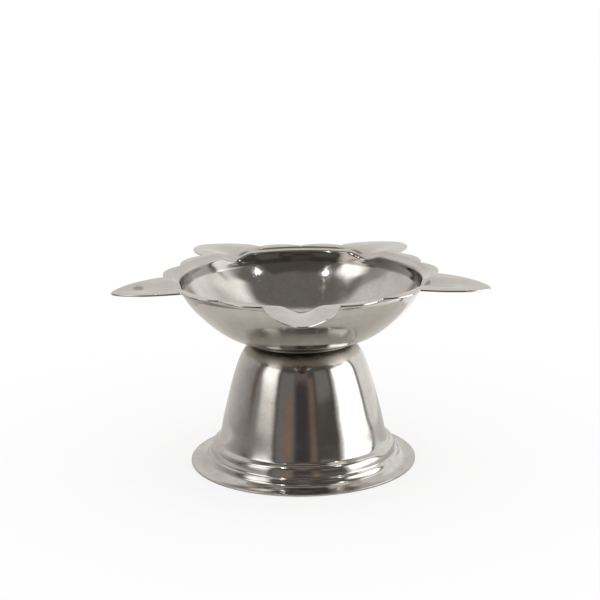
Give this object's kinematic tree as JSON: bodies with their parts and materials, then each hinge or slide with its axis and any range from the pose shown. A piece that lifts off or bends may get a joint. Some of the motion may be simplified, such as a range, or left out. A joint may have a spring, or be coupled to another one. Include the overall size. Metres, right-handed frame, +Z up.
{
  "type": "oil lamp stand",
  "caption": "Small pressed steel oil lamp: a round bowl with a star-shaped, scalloped rim and a wick channel in each point, welded on a bell-shaped stand with a beaded, flanged foot.",
  "frame": {"origin": "on the table surface, under the middle of the lamp's bounding box; the turned axis of the bowl and stand is 3.6 mm behind it, at +Y", "axes": "+Z up, +X across the widest pair of petals, -Y towards the petal that points to the front"},
  "size_m": [0.0852, 0.0824, 0.045],
  "materials": {
    "dish_steel": "polished stainless steel sheet, soft satin on the flange and petals",
    "stand_steel": "mirror-polished stainless steel sheet with fine handling scuffs",
    "weld_steel": "dull fused steel"
  },
  "bodies": {
    "root": {"bell_stand": "stand_steel", "star_dish": "dish_steel", "weld_nugget_1": "weld_steel", "weld_nugget_2": "weld_steel", "weld_nugget_3": "weld_steel"}
  },
  "joints": []
}
